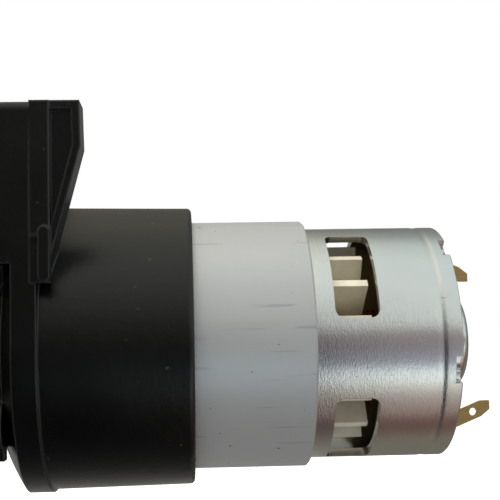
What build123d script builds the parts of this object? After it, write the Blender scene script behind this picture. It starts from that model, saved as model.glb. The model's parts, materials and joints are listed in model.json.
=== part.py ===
from math import acos, atan2, cos, degrees, pi, radians, sin, sqrt, tan
import os

from build123d import *

os.makedirs("parts", exist_ok=True)

# Small direct-current motor pushed into the collar of a three-stage spur gear case.
# Millimetres. X runs along the motor, +X towards its brush end, and the output shaft leaves at -X.
# +Z runs from the motor's axis to the output axis.
# The origin is the centre of the four mounting holes, on the case's mounting face.

# Gear train
pressure_angle = 20.0
backlash = 0.16
gear_centres = 22.5
pinion_module, pinion_teeth, gear_1_teeth = 0.6, 15, 60
pinion_2_module, pinion_2_teeth, gear_2_teeth = 0.9, 12, 38
pinion_3_module, pinion_3_teeth, gear_3_teeth = 1.0, 11, 34
shift_1, shift_2, shift_3 = 0.12, 0.30, 0.36
running_gap = 0.03

# Axes, as Y and Z
mount_spacing_y = 36.0
mount_spacing_z = 52.0
motor_axis_z = -14.0
idler_2_drop = 10.3
motor_axis = (0, motor_axis_z)
output_axis = (0, motor_axis_z + gear_centres)
idler_2_axis = (sqrt(gear_centres**2 - idler_2_drop**2), output_axis[1] - idler_2_drop)

# Gear case
wall = 2.5
end_wall = 3.0
case_depth = 33.0
motor_case_depth = 6.2
gear_tip_gap = 1.05
flange_lip = 0.6
motor_end_radius = 26.0
motor_end_back = [(-9.6, 13.4), (-7.1, 20.6), (-4.1, 26.0)]
motor_end_room = 19.0
corner_radius = 1.5
corner_site = (-25.0, 24.5)
shaft_dome_radius = 8.9
seat_thickness = 4.0
seat_depth = 3.0
collar_length = 25.0
collar_radius = 25.1
collar_draft = 0.4
collar_gap = 0.1
step_height = 2.2
step_width = 2.5
step_low = -3.3
rib_near, rib_far = -26.3, -20.0
rib_foot = (1.5, -2.5)
rib_elbow = (7.25, 18.8)
rib_top = (7.05, 26.0)
rib_rim = 1.35
rib_pocket = 0.9
lobe_bevel = [(0, 22.0), (-2.3, 35.0)]
lobe_room = 1.2
lug_x, lug_z = 1.4, 1.3
lug_length, lug_width, lug_height = 9.0, 1.9, 0.9
pillar_radius = 4.5
pilot_radius = 11.0
pilot_height = 3.0
mount_hole_radius = 1.75
mount_hole_depth = 14.0
screw_boss_radius = 4.0
screw_boss_depth = 7.0
near_boss_radius = 3.0
case_screw_radius = 1.5
case_screw_head_radius = 2.9
case_screw_head_height = 2.2
case_screw_bite = 3.2
case_screw_sites = [(-23.6, 17.9), (31.0, 34.0), (45.0, 13.0), (33.5, -8.5)]

# Motor
can_radius = 21.0
can_wall = 1.5
can_length = 66.7
can_front_wall = 1.6
front_boss_radius = 8.75
front_boss_height = 4.7
vent_ring, vent_radius = 13.5, 2.4
ring_wall = 1.45
ring_start = 5.0
ring_length = 37.2
ring_slit = 0.6
motor_screw_pitch = 29.0
motor_screw_radius = 2.0
motor_screw_head_radius = 3.5
motor_screw_head_height = 2.6
window_start = 45.5
window_length = 7.5
window_width = 18.5
window_corner = 1.5
window_turn = 51.8
bead_from_rim = 3.7
end_plate_recess = 1.5
crimp_turns = [12.7, 128.0, 192.7, 308.0]
end_plate_thickness = 2.0
rear_boss_height = 6.4
card_thickness = 2.0

# Rotor
shaft_radius = 2.5
shaft_reach = 17.0
core_radius = can_radius - 4.4
core_start = 8.0
core_length = 30.0
poles = 5
insulator = 0.6
winding_height = 3.4
magnet_inner = can_radius - 3.8
magnet_start = 4.0
magnet_length = 36.0
fan_start = 44.3
fan_radius = can_radius - 3.4
fan_disc = 1.1
fan_depth = 7.9
fan_turn = 9.0
fan_hub = 6.5
fan_hub_depth = 7.0
blade_foot = 9.0
fan_blades = 16
commutator_start = 52.8
commutator_length = 7.6
commutator_radius = 6.0

# Bearings, five by thirteen by four
bearing_outer = 6.5
bearing_width = 4.0
race_wall = 1.3
ball_radius = 0.62

# Terminals
blade_width = 2.8
blade_thickness = 0.8
blade_reach = 8.7
blade_radius = can_radius - 4.6
blade_turn = 70.9
blade_rise = 22.0

# Output
output_radius = 5.0
output_reach = 22.0
web_outer, web_inner, web_depth = 13.0, 9.0, 2.0
flat_depth = 1.0
flat_length = 8.4
key_size = 3.0
key_length = 6.0
pin_radius = 2.5

# Places along X that follow from the sizes above
seat_x = case_depth + seat_depth
split_x = case_depth - motor_case_depth
rim_x = seat_x + can_length
ring_radius = can_radius + ring_wall
can_inside = can_radius - can_wall
gear_3_x, gear_3_width = end_wall + 1.0, 7.3
gear_2_x, gear_2_width = gear_3_x + gear_3_width + 1.2, 7.0
gear_1_x, gear_1_width = gear_2_x + gear_2_width + 1.0, 8.0
end_plate_x = rim_x - end_plate_recess - end_plate_thickness
card_x = end_plate_x - 0.3 - card_thickness
front_bearing_x = seat_x - front_boss_height + 1.6
rear_bearing_x = end_plate_x + 2.3
commutator_x = seat_x + commutator_start


def across(x):
    """A plane across the motor at x: its own x runs along +Y and its own y along +Z."""
    return Plane(origin=(x, 0, 0), x_dir=(0, 1, 0), z_dir=(1, 0, 0))


def across_motor(x):
    """The same plane with its origin on the motor's axis."""
    return Plane(origin=(x, 0, motor_axis_z), x_dir=(0, 1, 0), z_dir=(1, 0, 0))


def along_motor():
    """A plane that holds the motor's axis: its own x runs along +X and its own y is the radius."""
    return Plane(origin=(0, 0, motor_axis_z), x_dir=(1, 0, 0), z_dir=(0, -1, 0))


motor_line = Axis((0, 0, motor_axis_z), (1, 0, 0))


def involute(angle):
    return tan(angle) - angle


def gear_outline(x, centre, module, teeth, shift, turn, bore):
    """Involute spur gear face, with one tooth's centre at the angle turn, from +Y towards +Z."""
    alpha = radians(pressure_angle)
    pitch_radius = module * teeth / 2
    base = pitch_radius * cos(alpha)
    tip = module * (teeth / 2 + 1 + shift)
    root = module * (teeth / 2 - 1.25 + shift)
    thickness = module * (pi / 2 + 2 * shift * tan(alpha)) - backlash / 2
    half_base = thickness / (2 * pitch_radius) + involute(alpha)

    def half_angle(radius):
        return half_base - involute(acos(min(1, base / radius)))

    def point(radius, angle):
        return (centre[0] + radius * cos(angle), centre[1] + radius * sin(angle))

    start = max(base, root)
    middle = (start + tip) / 2
    step = 2 * pi / teeth
    with BuildSketch(across(x)) as outline:
        with BuildLine():
            for tooth in range(teeth):
                at = radians(turn) + tooth * step
                low, mid, high = half_angle(start), half_angle(middle), half_angle(tip)
                if root < base:
                    Line(point(root, at - low), point(start, at - low))
                ThreePointArc(point(start, at - low), point(middle, at - mid), point(tip, at - high))
                ThreePointArc(point(tip, at - high), point(tip, at), point(tip, at + high))
                ThreePointArc(point(tip, at + high), point(middle, at + mid), point(start, at + low))
                if root < base:
                    Line(point(start, at + low), point(root, at + low))
                ThreePointArc(
                    point(min(root, start), at + low),
                    point(min(root, start), at + step / 2),
                    point(min(root, start), at + step - low),
                )
        make_face()
        with Locations(centre):
            Circle(bore, mode=Mode.SUBTRACT)
    return outline.sketch


def meshing_turn(from_centre, to_centre, from_turn, from_teeth, to_teeth):
    """The turn of a gear that puts it in mesh with a gear whose turn is known."""
    line = degrees(atan2(to_centre[1] - from_centre[1], to_centre[0] - from_centre[0]))
    return line + 180 - 360 / to_teeth * (0.5 - (line - from_turn) * from_teeth / 360)


rotor_turn = 90.0
gear_1_turn = meshing_turn(motor_axis, output_axis, rotor_turn, pinion_teeth, gear_1_teeth)
gear_2_turn = meshing_turn(output_axis, idler_2_axis, 0, pinion_2_teeth, gear_2_teeth)
gear_3_turn = meshing_turn(idler_2_axis, output_axis, 0, pinion_3_teeth, gear_3_teeth)


def gear_tip_radius(module, teeth, shift):
    return module * (teeth / 2 + 1 - shift)


upper_radius = gear_tip_radius(pinion_module, gear_1_teeth, shift_1) + gear_tip_gap
side_radius = gear_tip_radius(pinion_2_module, gear_2_teeth, shift_2) + gear_tip_gap


def gear_room(x, grow):
    """The outline round the gears, grown by a wall."""
    with BuildSketch(across(x)) as outline:
        with Locations(output_axis):
            Circle(upper_radius + grow)
        with Locations(idler_2_axis):
            Circle(side_radius + grow)
        make_hull()
    return outline.sketch


def flange_outline(x):
    """The case's whole outline: the gear room's and the motor end's together."""
    with BuildSketch(across(x)) as outline:
        with Locations(motor_axis):
            Circle(motor_end_radius)
        with Locations(output_axis):
            Circle(upper_radius + wall + flange_lip)
        with Locations(idler_2_axis):
            Circle(side_radius + wall + flange_lip)
        with Locations(corner_site):
            Circle(corner_radius)
        make_hull()
    return outline.sketch


def motor_end_waste():
    """What is taken off the motor end to leave its domed back, all below the screw boss."""
    inner, middle, outer = [(case_depth + x, radius) for x, radius in motor_end_back]
    beyond = outer[1] + 9
    with BuildPart() as waste:
        with BuildSketch(along_motor()):
            with BuildLine():
                ThreePointArc(inner, middle, outer)
                Polyline(
                    outer, (outer[0], beyond), (inner[0] - 1, beyond), (inner[0] - 1, inner[1]), inner
                )
            make_face()
        revolve(axis=motor_line)
        low_side = Plane(origin=(0, 0, motor_axis_z + case_screw_sites[0][1] - screw_boss_radius))
        split(bisect_by=low_side, keep=Keep.BOTTOM)
    return waste.part


def site(place):
    """A place given from the motor's axis, as Y and Z."""
    return (place[0], place[1] + motor_axis_z)


mount_sites = [
    (side * mount_spacing_y / 2, height * mount_spacing_z / 2) for side in (-1, 1) for height in (-1, 1)
]


def make_motor_case():
    """The half with the collar: it seats the motor and closes the gear room."""
    face = case_depth
    with BuildPart() as motor_case:
        extrude(to_extrude=flange_outline(split_x), amount=motor_case_depth)
        add(motor_end_waste(), mode=Mode.SUBTRACT)
        # Raised wall and ribbed box on the near side of the upper end
        (foot_x, foot_z), elbow, top = [(face + x, z) for x, z in (rib_foot, rib_elbow, rib_top)]
        wall_y = corner_site[0] - corner_radius
        with BuildSketch(across(face - 1)):
            with Locations((wall_y, step_low)):
                Rectangle(step_width, corner_site[1] + corner_radius - step_low, align=(Align.MIN, Align.MIN))
        extrude(amount=1 + step_height)
        with BuildSketch(Plane.XZ.offset(-rib_near)):
            with BuildLine():
                Polyline((face - 1, foot_z), (foot_x, foot_z), elbow, top, (face - 1, top[1]), close=True)
            make_face()
        extrude(amount=rib_near - rib_far)
        slope = (elbow[1] - foot_z) / (elbow[0] - foot_x)
        pocket_x = face + step_height + 0.1
        with BuildSketch(Plane.XZ.offset(-rib_near)):
            with BuildLine():
                Polyline(
                    (pocket_x, foot_z + slope * (pocket_x + rib_rim - foot_x)),
                    (elbow[0] - rib_rim, elbow[1]),
                    (top[0] - rib_rim, top[1] - rib_rim),
                    (pocket_x, top[1] - rib_rim),
                    close=True,
                )
            make_face()
        extrude(amount=-rib_pocket, mode=Mode.SUBTRACT)
        with BuildSketch(across(split_x)):
            with Locations(*[site(place) for place in case_screw_sites[1:]]):
                Circle(screw_boss_radius)
        extrude(amount=motor_case_depth - 0.5)
        with BuildSketch(across(face - 1)):
            with Locations(site(case_screw_sites[0])):
                Circle(near_boss_radius)
        extrude(amount=2.5)
        # Bevel on the far lobe
        bevel_start, bevel_end = [(face + x, y) for x, y in lobe_bevel]
        with BuildSketch(Plane.XY.offset(output_axis[1] - screw_boss_radius)):
            with BuildLine():
                Polyline(
                    bevel_start,
                    bevel_end,
                    (bevel_end[0], 2 * bevel_end[1]),
                    (face + 1, 2 * bevel_end[1]),
                    (face + 1, bevel_start[1]),
                    close=True,
                )
            make_face()
        extrude(amount=upper_radius + mount_spacing_z, mode=Mode.SUBTRACT)
        # Collar, drafted, and the wall the motor seats on
        with BuildSketch(along_motor()):
            with BuildLine():
                Polyline(
                    (face - 1, 0),
                    (face - 1, collar_radius + collar_draft),
                    (face + collar_length, collar_radius),
                    (face + collar_length, 0),
                    close=True,
                )
            make_face()
        revolve(axis=motor_line)
        fillet(motor_case.edges().filter_by(GeomType.CIRCLE).sort_by(Axis.X)[-1], 0.8)
        with BuildSketch(across_motor(seat_x)):
            Circle(ring_radius + collar_gap)
        extrude(amount=collar_length, mode=Mode.SUBTRACT)
        # Oblong lug on the near side
        lug_plane = Plane(origin=(face + lug_x, wall_y + 1, lug_z), x_dir=(0, 0, 1), z_dir=(0, -1, 0))
        with BuildSketch(lug_plane):
            SlotOverall(lug_length, lug_width)
        extrude(amount=1 + lug_height)
        # Room for the gears and the pinion
        extrude(to_extrude=gear_room(split_x, 0), amount=lobe_room, mode=Mode.SUBTRACT)
        with BuildSketch(across(split_x)):
            with Locations(output_axis):
                Circle(upper_radius)
        extrude(amount=motor_case_depth - wall, mode=Mode.SUBTRACT)
        with BuildSketch(across_motor(split_x)):
            Circle(motor_end_room)
        extrude(amount=seat_x - seat_thickness - split_x, mode=Mode.SUBTRACT)
        # Bosses for the two gear pins
        with BuildSketch(across(face - wall)):
            with Locations(output_axis, idler_2_axis):
                Circle(2 * pin_radius)
        extrude(amount=-1.7)
        with BuildSketch(across(face - 1)):
            with Locations(output_axis, idler_2_axis):
                Circle(pin_radius)
        extrude(amount=-6, mode=Mode.SUBTRACT)
        # Motor's front boss, its screws, and the case screws
        with BuildSketch(across_motor(split_x)):
            Circle(front_boss_radius + collar_gap)
            with Locations((-motor_screw_pitch / 2, 0), (motor_screw_pitch / 2, 0)):
                Circle(motor_screw_radius + 0.15)
        extrude(amount=seat_x - split_x, mode=Mode.SUBTRACT)
        with BuildSketch(across(split_x)):
            with Locations(*[site(place) for place in case_screw_sites]):
                Circle(case_screw_radius)
        extrude(amount=case_screw_bite, mode=Mode.SUBTRACT)
    motor_case.part.label = "motor_case"
    export_step(motor_case.part, "parts/motor_case.step")


def make_gear_cover():
    """The deep half that holds the gears, the output bush and the mounting holes."""
    dome_x = gear_1_x - 4.5
    with BuildPart() as gear_cover:
        flange_x = case_depth + motor_end_back[0][0]
        extrude(to_extrude=flange_outline(flange_x), amount=split_x - flange_x)
        add(motor_end_waste(), mode=Mode.SUBTRACT)
        extrude(to_extrude=gear_room(0, wall), amount=split_x)
        with BuildSketch(across_motor(dome_x)):
            Circle(shaft_dome_radius)
        extrude(amount=split_x - dome_x)
        for height, length in ((-1, split_x), (1, flange_x + 1)):
            with BuildSketch(across(0)):
                with Locations(*[place for place in mount_sites if place[1] * height > 0]):
                    Circle(pillar_radius)
            extrude(amount=length)
        # Rib that ties the lower near pillar to the gear room
        with BuildSketch(across(mount_hole_depth / 2)):
            with Locations((mount_sites[0][0], (mount_sites[0][1] + output_axis[1] - upper_radius) / 2)):
                Rectangle(wall, output_axis[1] - mount_sites[0][1] - upper_radius + 12)
        extrude(amount=split_x - mount_hole_depth / 2)
        with BuildSketch(across(split_x)):
            with Locations(*[site(place) for place in case_screw_sites]):
                Circle(screw_boss_radius)
        extrude(amount=-screw_boss_depth)
        with BuildSketch(across(0)):
            with Locations(output_axis):
                Circle(pilot_radius)
        extrude(amount=-pilot_height)
        # Room for the gears and the pinion
        extrude(to_extrude=gear_room(end_wall, 0), amount=split_x, mode=Mode.SUBTRACT)
        with BuildSketch(across_motor(dome_x + wall)):
            Circle(shaft_dome_radius - wall)
        extrude(amount=split_x, mode=Mode.SUBTRACT)
        # Bush, second gear's pin, mounting holes, case screws
        with BuildSketch(across(-pilot_height)):
            with Locations(output_axis):
                Circle(output_radius + wall)
        extrude(amount=pilot_height + end_wall, mode=Mode.SUBTRACT)
        with BuildSketch(across(1)):
            with Locations(idler_2_axis):
                Circle(pin_radius)
        extrude(amount=end_wall, mode=Mode.SUBTRACT)
        with BuildSketch(across(0)):
            with Locations(*mount_sites):
                Circle(mount_hole_radius)
        extrude(amount=mount_hole_depth, mode=Mode.SUBTRACT)
        with BuildSketch(across(split_x)):
            with Locations(*[site(place) for place in case_screw_sites]):
                Circle(case_screw_radius + 0.2)
        extrude(amount=-screw_boss_depth, mode=Mode.SUBTRACT)
        with BuildSketch(across(split_x - screw_boss_depth)):
            with Locations(*[site(place) for place in case_screw_sites]):
                Circle(case_screw_head_radius + 0.3)
        extrude(amount=-screw_boss_depth, mode=Mode.SUBTRACT)
    gear_cover.part.label = "gear_cover"
    export_step(gear_cover.part, "parts/gear_cover.step")


def make_case_screws():
    head_x = split_x - screw_boss_depth
    with BuildPart() as case_screws:
        with BuildSketch(across(head_x)):
            with Locations(*[site(place) for place in case_screw_sites]):
                Circle(case_screw_head_radius)
        extrude(amount=-case_screw_head_height)
        fillet(case_screws.edges().group_by(Axis.X)[0], 0.8)
        with BuildSketch(across(head_x)):
            with Locations(*[site(place) for place in case_screw_sites]):
                Circle(case_screw_radius)
        extrude(amount=screw_boss_depth + case_screw_bite)
        with BuildSketch(across(head_x - case_screw_head_height)):
            with Locations(*[site(place) for place in case_screw_sites]):
                Rectangle(3.4, 0.7)
                Rectangle(0.7, 3.4)
        extrude(amount=1.2, mode=Mode.SUBTRACT)
    case_screws.part.label = "case_screws"
    export_step(case_screws.part, "parts/case_screws.step")


def make_motor_screws():
    head_x = seat_x - seat_thickness
    places = [(-motor_screw_pitch / 2, 0), (motor_screw_pitch / 2, 0)]
    with BuildPart() as motor_screws:
        with BuildSketch(across_motor(head_x)):
            with Locations(*places):
                Circle(motor_screw_head_radius)
        extrude(amount=-motor_screw_head_height)
        fillet(motor_screws.edges().group_by(Axis.X)[0], 1.0)
        with BuildSketch(across_motor(head_x)):
            with Locations(*places):
                Circle(motor_screw_radius)
        extrude(amount=seat_thickness + 3.4)
        with BuildSketch(across_motor(head_x - motor_screw_head_height)):
            with Locations(*places):
                Rectangle(4.0, 0.8)
                Rectangle(0.8, 4.0)
        extrude(amount=1.4, mode=Mode.SUBTRACT)
    motor_screws.part.label = "motor_screws"
    export_step(motor_screws.part, "parts/motor_screws.step")


def make_motor_can():
    """Deep-drawn steel cup with a bearing boss, cooling windows and a crimped rim."""
    with BuildPart() as motor_can:
        with BuildSketch(across_motor(seat_x)):
            Circle(can_radius)
        extrude(amount=can_length)
        fillet(motor_can.edges().group_by(Axis.X)[0], 2.0)
        with BuildSketch(across_motor(seat_x)):
            Circle(front_boss_radius)
        extrude(amount=-front_boss_height)
        fillet(motor_can.edges().group_by(Axis.X)[0], 0.6)
        with BuildSketch(across_motor(seat_x + can_front_wall)):
            Circle(can_inside)
        extrude(amount=can_length, mode=Mode.SUBTRACT)
        with BuildSketch(across_motor(front_bearing_x)):
            Circle(bearing_outer)
        extrude(amount=seat_x + can_front_wall - front_bearing_x, mode=Mode.SUBTRACT)
        with BuildSketch(across_motor(seat_x - front_boss_height)):
            Circle(shaft_radius + 1.5)
        extrude(amount=3, mode=Mode.SUBTRACT)
        with BuildSketch(across_motor(seat_x)):
            with Locations((-motor_screw_pitch / 2, 0), (motor_screw_pitch / 2, 0)):
                Circle(motor_screw_radius + 0.05)
            with PolarLocations(vent_ring, 4, start_angle=45):
                Circle(vent_radius)
        extrude(amount=can_front_wall, mode=Mode.SUBTRACT)
        # Cooling windows, punched square to the can's side
        for quarter in range(4):
            turn = radians(window_turn + 90 * quarter)
            outward = (0, cos(turn), sin(turn))
            middle = seat_x + window_start + window_length / 2
            with BuildSketch(Plane(origin=(middle, 0, motor_axis_z), x_dir=(1, 0, 0), z_dir=outward)):
                RectangleRounded(window_length, window_width, window_corner)
            extrude(amount=can_radius + 1, mode=Mode.SUBTRACT)
        # Rolled bead ahead of the rim and the crimps in the rim
        with BuildSketch(across_motor(rim_x - bead_from_rim)):
            Circle(can_radius + 1)
            Circle(can_radius - 0.3, mode=Mode.SUBTRACT)
        extrude(amount=0.5, mode=Mode.SUBTRACT)
        with BuildSketch(across_motor(rim_x - end_plate_recess + 0.2)):
            for turn in crimp_turns:
                with PolarLocations(can_radius - 0.4, 1, start_angle=turn):
                    Rectangle(2.2, 4.6)
        extrude(amount=end_plate_recess, mode=Mode.SUBTRACT)
    motor_can.part.label = "motor_can"
    export_step(motor_can.part, "parts/motor_can.step")


def make_flux_ring():
    """Rolled steel sleeve round the can, with its seam on the far side."""
    with BuildPart() as flux_ring:
        with BuildSketch(across_motor(seat_x + ring_start)):
            Circle(ring_radius)
            Circle(can_radius + 0.02, mode=Mode.SUBTRACT)
            with Locations((can_radius, 0)):
                Rectangle(4 * ring_wall, ring_slit, mode=Mode.SUBTRACT)
        extrude(amount=ring_length)
        chamfer(flux_ring.edges().filter_by(GeomType.CIRCLE).sort_by(SortBy.LENGTH)[-2:], 0.3)
    flux_ring.part.label = "flux_ring"
    export_step(flux_ring.part, "parts/flux_ring.step")


def make_magnets():
    with BuildPart() as magnets:
        with BuildSketch(across_motor(seat_x + magnet_start)):
            Circle(can_inside - 0.05)
            Circle(magnet_inner, mode=Mode.SUBTRACT)
            Rectangle(10, 2 * can_radius, mode=Mode.SUBTRACT)
        extrude(amount=magnet_length)
    magnets.part.label = "magnets"
    export_step(magnets.part, "parts/magnets.step")


def make_magnet_clips():
    """Spring strips that spread the two magnets apart, one at the top and one at the bottom."""
    with BuildPart() as magnet_clips:
        with BuildSketch(across_motor(seat_x + magnet_start)):
            Circle(can_inside - 0.05)
            Circle(can_inside - 0.65, mode=Mode.SUBTRACT)
            Rectangle(9.4, 2 * can_radius, mode=Mode.INTERSECT)
            for side in (-1, 1):
                with Locations((side * 4.4, can_inside - 1.9), (side * 4.4, 1.9 - can_inside)):
                    Rectangle(0.6, 1.9)
        extrude(amount=magnet_length)
    magnet_clips.part.label = "magnet_clips"
    export_step(magnet_clips.part, "parts/magnet_clips.step")


def make_rear_end_plate():
    with BuildPart() as rear_end_plate:
        with BuildSketch(across_motor(end_plate_x)):
            Circle(can_inside - 0.05)
        extrude(amount=end_plate_thickness)
        with BuildSketch(across_motor(end_plate_x)):
            Circle(front_boss_radius)
        extrude(amount=end_plate_thickness + rear_boss_height)
        fillet(rear_end_plate.edges().group_by(Axis.X)[-1], 2.0)
        with BuildSketch(across_motor(end_plate_x)):
            Circle(bearing_outer)
        extrude(amount=rear_bearing_x + bearing_width - end_plate_x, mode=Mode.SUBTRACT)
        with BuildSketch(across_motor(end_plate_x)):
            Circle(shaft_radius + 1)
        extrude(amount=20, mode=Mode.SUBTRACT)
        # Openings for the two terminals
        with BuildSketch(across_motor(end_plate_x)):
            with Locations(*terminal_sites()):
                Rectangle(blade_thickness + 1.2, blade_width + 1.4)
        extrude(amount=end_plate_thickness, mode=Mode.SUBTRACT)
    rear_end_plate.part.label = "rear_end_plate"
    export_step(rear_end_plate.part, "parts/rear_end_plate.step")


def terminal_sites():
    y = blade_radius * cos(radians(blade_turn))
    z = blade_radius * sin(radians(blade_turn))
    return [(y, z), (-y, -z)]


def make_brush_card():
    """Moulded card that carries the brush boxes and the terminals."""
    with BuildPart() as brush_card:
        with BuildSketch(across_motor(card_x)):
            Circle(can_inside - 0.05)
            Circle(commutator_radius + 2.5, mode=Mode.SUBTRACT)
            with Locations(*terminal_sites()):
                Rectangle(blade_thickness, blade_width, mode=Mode.SUBTRACT)
        extrude(amount=card_thickness)
        # Posts that stop against the end plate
        with BuildSketch(across_motor(card_x + card_thickness)):
            with PolarLocations(15, 2, start_angle=-45):
                Circle(1.6)
        extrude(amount=0.3)
    brush_card.part.label = "brush_card"
    export_step(brush_card.part, "parts/brush_card.step")


brush_height = 5.6
brush_depth = 4.8
box_wall = 0.5
box_outer = can_inside - 1.5
brush_outer = 13.0
brush_x = card_x - box_wall - brush_depth / 2


def make_brush_boxes():
    with BuildPart() as brush_boxes:
        for side in (-1, 1):
            with BuildSketch(Plane.XZ.offset(side * (commutator_radius + 2))):
                with Locations((brush_x, motor_axis_z)):
                    Rectangle(brush_depth + 2 * box_wall, brush_height + 2 * box_wall)
                    Rectangle(brush_depth + 0.1, brush_height + 0.1, mode=Mode.SUBTRACT)
            extrude(amount=side * (box_outer - commutator_radius - 2 - box_wall))
            with BuildSketch(Plane.XZ.offset(side * (box_outer - box_wall))):
                with Locations((brush_x, motor_axis_z)):
                    Rectangle(brush_depth + 2 * box_wall, brush_height + 2 * box_wall)
            extrude(amount=side * box_wall)
    brush_boxes.part.label = "brush_boxes"
    export_step(brush_boxes.part, "parts/brush_boxes.step")


def make_carbon_brushes():
    with BuildPart() as carbon_brushes:
        for side in (-1, 1):
            with BuildSketch(Plane.XZ.offset(side * (commutator_radius - 1))):
                with Locations((brush_x, motor_axis_z)):
                    Rectangle(brush_depth, brush_height)
            extrude(amount=side * (brush_outer - commutator_radius + 1))
        with BuildSketch(across_motor(commutator_x)):
            Circle(commutator_radius + 0.05)
        extrude(amount=commutator_length + 2, mode=Mode.SUBTRACT)
    carbon_brushes.part.label = "carbon_brushes"
    export_step(carbon_brushes.part, "parts/carbon_brushes.step")


def make_brush_springs():
    """Coil springs that press each brush towards the commutator."""
    length = box_outer - box_wall - brush_outer - 0.4
    turns = 3.5
    wire = 0.25
    spring_radius = 1.7
    with BuildPart() as brush_springs:
        for side in (-1, 1):
            start = (brush_x, side * (brush_outer + 0.2 + wire), motor_axis_z)
            height = length - 2 * wire
            with BuildLine() as coil:
                Helix(height / turns, height, spring_radius, center=start, direction=(0, side, 0))
            with BuildSketch(Plane(coil.line @ 0, z_dir=coil.line % 0)):
                Circle(wire)
            sweep(path=coil.line, is_frenet=True)
    brush_springs.part.label = "brush_springs"
    export_step(brush_springs.part, "parts/brush_springs.step")


def make_terminal_blades():
    """Brass tags through the end plate, bent at the rim and holed for a wire."""
    bend_x = rim_x - 0.6
    with BuildPart() as terminal_blades:
        for number, (y, z) in enumerate(terminal_sites()):
            side = 1 if number else -1
            low = card_x - 1.2
            rise = side * tan(radians(blade_rise))
            reach = blade_reach + 0.6
            half = blade_width / 2
            tip = half * 0.55
            with BuildSketch(Plane.XZ.offset(-y - blade_thickness / 2)):
                with BuildLine():
                    Polyline(
                        (low, motor_axis_z + z - half),
                        (bend_x, motor_axis_z + z - half),
                        (bend_x + reach - 1.6, motor_axis_z + z - half + rise * (reach - 1.6)),
                        (bend_x + reach, motor_axis_z + z - tip + rise * reach),
                        (bend_x + reach, motor_axis_z + z + tip + rise * reach),
                        (bend_x + reach - 1.6, motor_axis_z + z + half + rise * (reach - 1.6)),
                        (bend_x, motor_axis_z + z + half),
                        (low, motor_axis_z + z + half),
                        close=True,
                    )
                make_face()
                with Locations((bend_x + reach - 3.0, motor_axis_z + z + rise * (reach - 3.0))):
                    Circle(0.7, mode=Mode.SUBTRACT)
            extrude(amount=blade_thickness)
    terminal_blades.part.label = "terminal_blades"
    export_step(terminal_blades.part, "parts/terminal_blades.step")


def make_bearing_rings():
    for name, x in (("front", front_bearing_x), ("rear", rear_bearing_x)):
        with BuildPart() as outer_ring:
            with BuildSketch(across_motor(x)):
                Circle(bearing_outer)
                Circle(bearing_outer - race_wall, mode=Mode.SUBTRACT)
            extrude(amount=bearing_width)
        outer_ring.part.label = name + "_bearing_outer_ring"
        export_step(outer_ring.part, "parts/" + name + "_bearing_outer_ring.step")
        with BuildPart() as inner_ring:
            with BuildSketch(across_motor(x)):
                Circle(shaft_radius + race_wall)
                Circle(shaft_radius, mode=Mode.SUBTRACT)
            extrude(amount=bearing_width)
        inner_ring.part.label = name + "_bearing_inner_ring"
        export_step(inner_ring.part, "parts/" + name + "_bearing_inner_ring.step")
        with BuildPart() as balls:
            ball_circle = (bearing_outer + shaft_radius) / 2
            for ball in range(8):
                turn = radians(45 * ball)
                y, z = ball_circle * cos(turn), ball_circle * sin(turn) + motor_axis_z
                with Locations((x + bearing_width / 2, y, z)):
                    Sphere(ball_radius)
        balls.part.label = name + "_bearing_balls"
        export_step(balls.part, "parts/" + name + "_bearing_balls.step")


def make_motor_shaft():
    with BuildPart() as motor_shaft:
        with BuildSketch(across_motor(seat_x - shaft_reach)):
            Circle(shaft_radius)
        extrude(amount=shaft_reach + rear_bearing_x + bearing_width + 0.6 - seat_x)
        chamfer(motor_shaft.edges().filter_by(GeomType.CIRCLE), 0.4)
    motor_shaft.part.label = "motor_shaft"
    export_step(motor_shaft.part, "parts/motor_shaft.step")


def core_outline(x, inner, outer):
    """Five-pole lamination: a hub, arms and pole shoes."""
    arm = 5.6
    shoe = 2.6
    with BuildSketch(across_motor(x)) as outline:
        Circle(outer)
        Circle(outer - shoe, mode=Mode.SUBTRACT)
        with PolarLocations(outer - shoe / 2, poles, start_angle=180 / poles):
            Rectangle(2 * shoe, 2.2, mode=Mode.SUBTRACT)
        Circle(inner + 3.6)
        with PolarLocations(outer / 2 + 1, poles):
            Rectangle(outer - 3, arm)
        Circle(inner, mode=Mode.SUBTRACT)
    return outline.sketch


def make_rotor_core():
    with BuildPart() as rotor_core:
        outline = core_outline(seat_x + core_start, shaft_radius, core_radius)
        extrude(to_extrude=outline, amount=core_length)
    rotor_core.part.label = "rotor_core"
    export_step(rotor_core.part, "parts/rotor_core.step")


def make_core_insulators():
    with BuildPart() as core_insulators:
        for x in (seat_x + core_start - insulator, seat_x + core_start + core_length):
            outline = core_outline(x, shaft_radius, core_radius - 0.4)
            extrude(to_extrude=outline, amount=insulator)
    core_insulators.part.label = "core_insulators"
    export_step(core_insulators.part, "parts/core_insulators.step")


def make_windings():
    """Copper coils: bars through the slots, joined by an end ring at each end of the core."""
    front = seat_x + core_start - insulator
    back = seat_x + core_start + core_length + insulator
    slot_inner = shaft_radius + 3.9
    slot_outer = core_radius - 3.3
    with BuildPart() as windings:
        for x in (front - winding_height, back):
            with BuildSketch(across_motor(x)):
                Circle(slot_outer)
                Circle(slot_inner, mode=Mode.SUBTRACT)
            extrude(amount=winding_height)
        ends = windings.edges().filter_by(GeomType.CIRCLE).group_by(Axis.X)
        fillet(ends[0] + ends[-1], 1.4)
        with BuildSketch(across_motor(front)):
            Circle(slot_outer)
            Circle(slot_inner, mode=Mode.SUBTRACT)
            with PolarLocations(core_radius / 2, poles):
                Rectangle(core_radius, 6.2, mode=Mode.SUBTRACT)
        extrude(amount=back - front)
    windings.part.label = "windings"
    export_step(windings.part, "parts/windings.step")


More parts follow.
